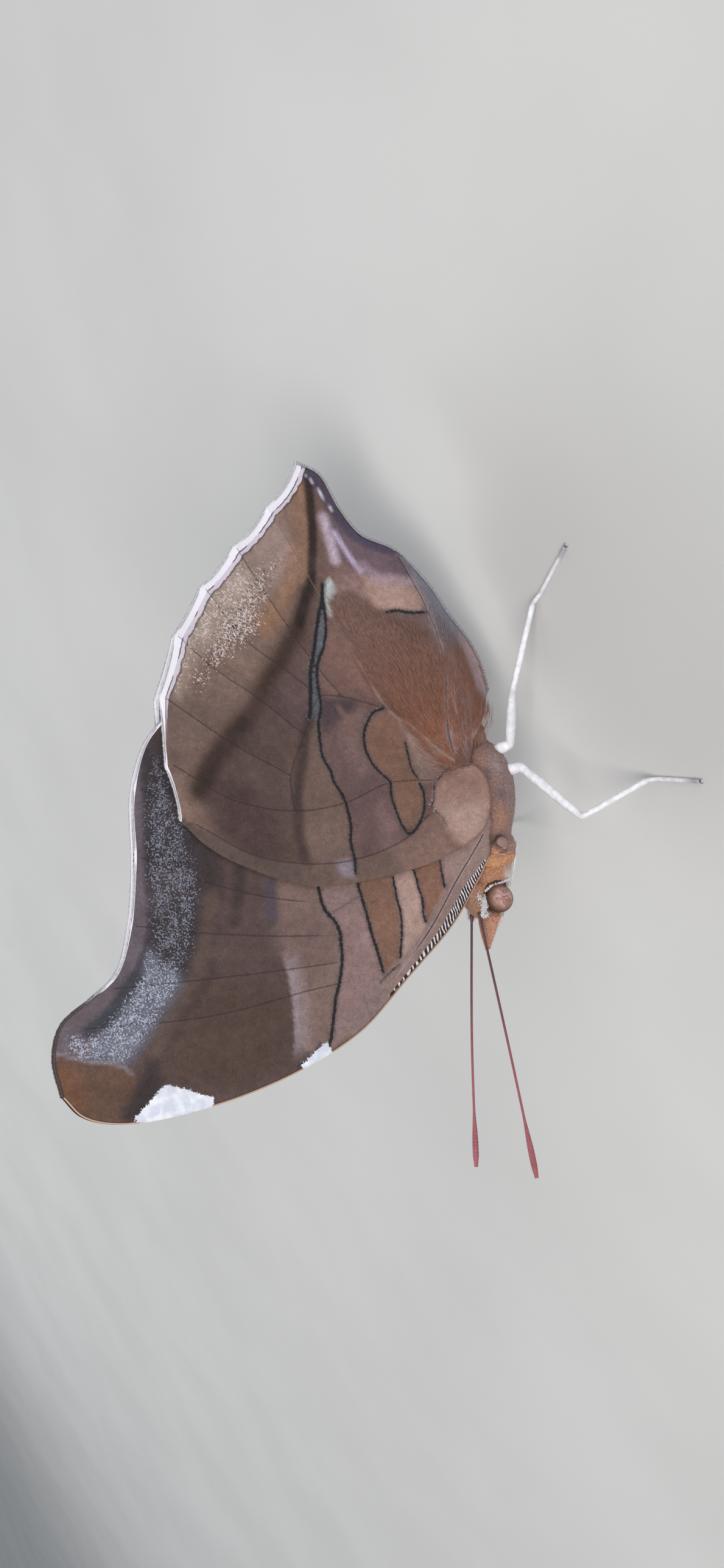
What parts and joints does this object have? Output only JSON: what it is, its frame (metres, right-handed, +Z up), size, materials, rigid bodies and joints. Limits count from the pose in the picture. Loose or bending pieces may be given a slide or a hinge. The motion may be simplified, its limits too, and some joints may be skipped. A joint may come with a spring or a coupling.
{
  "type": "orion cecropian butterfly, life-size still model",
  "caption": "Large brown leaf-like butterfly at rest, wings closed over the back, long feelers forward, standing on four pale legs with the short front pair folded.",
  "frame": {"origin": "on the floor under the middle of the whole insect's box", "axes": "+X to the tail along the longest extent (the head looks along -X), +Z up, the left side faces -Y"},
  "size_m": [0.0901, 0.0477, 0.0768],
  "materials": {
    "fur_brown": "short brown hair and scales",
    "tongue": "dark horny tube",
    "eye": "smooth glossy brown",
    "palp_orange": "close orange-brown scales with a white lower edge",
    "antenna_red": "dark red, redder at the club",
    "leg_white": "white scales",
    "wing_scales": "matt scales in browns with dark lines and pale frosting"
  },
  "bodies": {
    "root": {"thorax": "fur_brown", "abdomen": "fur_brown", "head": "fur_brown", "proboscis": "tongue", "eye_left": "eye", "eye_right": "eye", "palp_left": "palp_orange", "palp_right": "palp_orange", "antenna_left": "antenna_red", "antenna_right": "antenna_red", "foreleg_left": "leg_white", "foreleg_right": "leg_white", "midleg_left": "leg_white", "midleg_right": "leg_white", "hindleg_left": "leg_white", "hindleg_right": "leg_white", "forewing_left": "wing_scales", "forewing_right": "wing_scales", "hindwing_left": "wing_scales", "hindwing_right": "wing_scales"}
  },
  "joints": []
}
